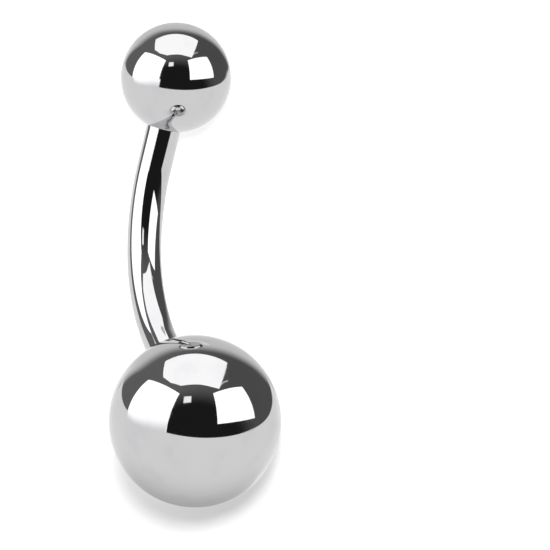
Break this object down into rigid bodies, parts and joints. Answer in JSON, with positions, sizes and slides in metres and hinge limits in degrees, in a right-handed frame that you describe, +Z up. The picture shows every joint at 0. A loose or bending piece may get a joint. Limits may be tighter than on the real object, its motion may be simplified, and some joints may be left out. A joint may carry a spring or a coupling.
{
  "type": "navel ring",
  "caption": "Curved barbell navel ring: a bent round bar with a larger polished ball screwed on its lower end and a smaller one on its upper end.",
  "frame": {"origin": "on the surface that the ring lies on, below the middle of its length and of its largest ball's width", "axes": "+Z up from the surface, +Y along the ring from the large bottom ball to the small top ball, +X to the right of that"},
  "size_m": [0.008, 0.0236, 0.008],
  "materials": {
    "polished_steel": "mirror-polished surgical stainless steel"
  },
  "bodies": {
    "bar": {"bar": "polished_steel"},
    "bottom_ball": {"bottom_ball": "polished_steel"},
    "top_ball": {"top_ball": "polished_steel"}
  },
  "joints": [
    {"name": "bottom_ball_unscrew", "type": "slide", "parent": "bar", "child": "bottom_ball", "axis": [0.3454, -0.8532, 0.3908], "range_m": [0, 0.0025]},
    {"name": "top_ball_unscrew", "type": "slide", "parent": "bar", "child": "top_ball", "axis": [0.388, 0.8753, 0.2887], "range_m": [0, 0.0025]}
  ]
}
